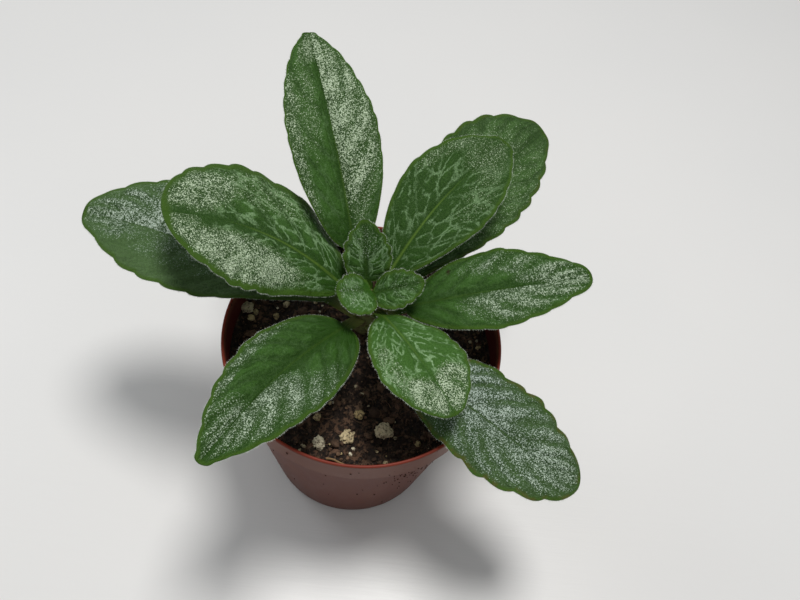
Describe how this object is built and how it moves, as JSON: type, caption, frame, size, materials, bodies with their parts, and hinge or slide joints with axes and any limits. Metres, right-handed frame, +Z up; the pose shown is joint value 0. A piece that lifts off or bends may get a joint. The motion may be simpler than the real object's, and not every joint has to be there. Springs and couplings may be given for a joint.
{
  "type": "potted primulina",
  "caption": "Young rosette houseplant with silver-veined, hairy, scalloped green leaves, growing from peat soil in a small round tapered terracotta-coloured plastic pot.",
  "frame": {"origin": "centre of the pot's foot, on the surface that the pot stands on", "axes": "+Z up along the pot's axis; -Y faces the viewer; +X to the viewer's right"},
  "size_m": [0.1578, 0.1366, 0.1341],
  "materials": {
    "pot_plastic": "satin",
    "peat": "matte",
    "stem": "matte",
    "leaf": "satin",
    "young_leaf": "satin"
  },
  "bodies": {
    "root": {"pot": "pot_plastic", "soil": "peat", "stem": "stem", "leaf_back": "leaf", "leaf_upper_right": "leaf", "leaf_upper_right_low": "leaf", "leaf_right": "leaf", "leaf_lower_right": "leaf", "leaf_front": "leaf", "leaf_lower_left": "leaf", "leaf_upper_left": "leaf", "leaf_left_low": "leaf", "leaf_young_back": "young_leaf", "leaf_young_left": "young_leaf", "leaf_young_right": "young_leaf"}
  },
  "joints": []
}
